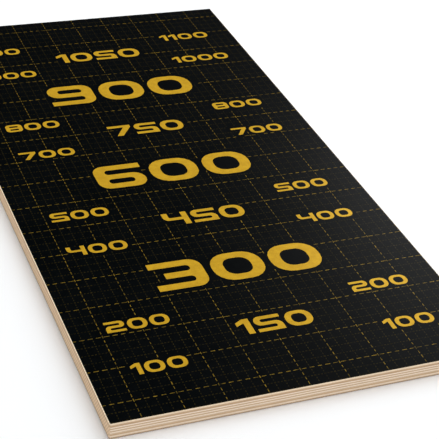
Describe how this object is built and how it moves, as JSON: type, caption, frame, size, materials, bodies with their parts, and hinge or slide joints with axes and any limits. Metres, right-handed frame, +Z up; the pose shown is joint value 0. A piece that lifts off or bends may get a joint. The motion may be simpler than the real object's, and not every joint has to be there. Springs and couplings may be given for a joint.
{
  "type": "phenolic plywood sheet",
  "caption": "Flat rectangular plywood sheet of cross-laid veneers between two dark phenolic films, with raw cut edges and a printed grid, for formwork and floors.",
  "frame": {"origin": "centre of the sheet's underside", "axes": "+X across the width, +Y along the length, +Z up through the thickness"},
  "size_m": [0.61, 1.22, 0.027],
  "materials": {
    "film": "satin",
    "light_veneer": "raw, sawn",
    "brown_veneer": "raw, sawn"
  },
  "bodies": {
    "root": {"top_film": "film", "face_ply": "light_veneer", "upper_crossband": "brown_veneer", "core_ply_1": "light_veneer", "core_ply_2": "light_veneer", "core_ply_3": "light_veneer", "core_ply_4": "light_veneer", "core_ply_5": "light_veneer", "core_ply_6": "light_veneer", "core_ply_7": "brown_veneer", "lower_crossband": "light_veneer", "back_ply": "brown_veneer", "bottom_film": "film"}
  },
  "joints": []
}
